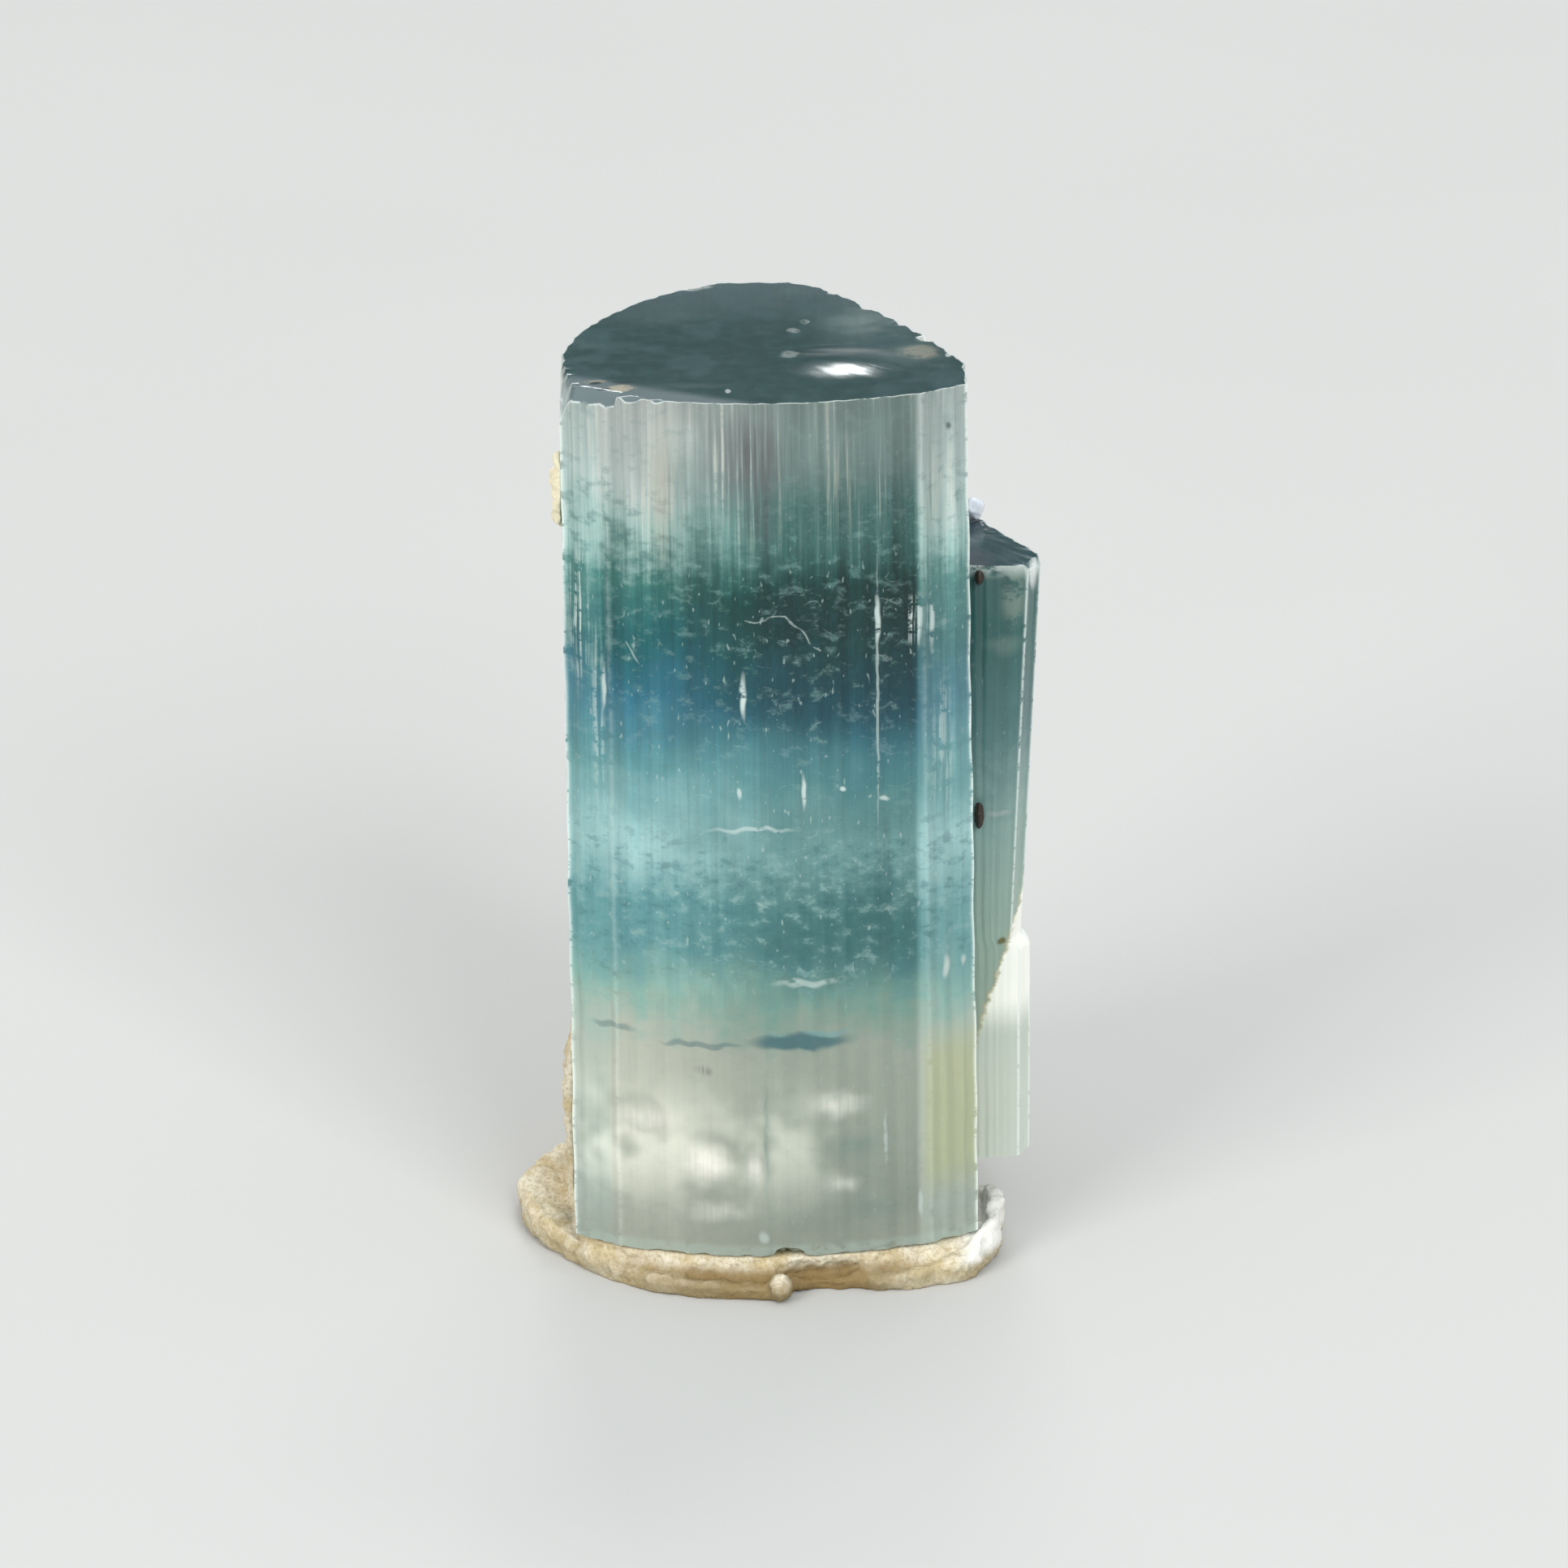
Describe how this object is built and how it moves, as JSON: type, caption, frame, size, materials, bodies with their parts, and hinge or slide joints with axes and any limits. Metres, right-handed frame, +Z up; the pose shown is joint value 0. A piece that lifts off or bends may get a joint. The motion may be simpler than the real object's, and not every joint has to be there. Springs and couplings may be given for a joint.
{
  "type": "indicolite tourmaline crystal",
  "caption": "Upright striated prism of blue-green tourmaline with a flat end face, a smaller prism grown against its side, and a pale crust at the foot.",
  "frame": {"origin": "where the main crystal's c-axis meets the plane that the specimen rests on", "axes": "+Z up along the c-axis, -Y out of the broad front face, +X towards the side crystal"},
  "size_m": [0.0183, 0.0157, 0.0325],
  "materials": {
    "tourmaline": "vitreous crystal, see-through, zoned from colourless through dark blue-green to sage",
    "crust": "rough cream crust with ochre hollows, taken from its look to be feldspar and clay",
    "white_mineral": "milky white mineral grain, slightly waxy",
    "dark_mineral": "dark brown with a dull sheen; the dark marks in the seam are taken to be mineral grains"
  },
  "bodies": {
    "root": {"main_crystal": "tourmaline", "side_crystal": "tourmaline", "matrix_crust": "crust", "upper_crust": "crust", "white_grain": "white_mineral", "dark_grain_upper": "dark_mineral", "dark_grain_lower": "dark_mineral"}
  },
  "joints": []
}
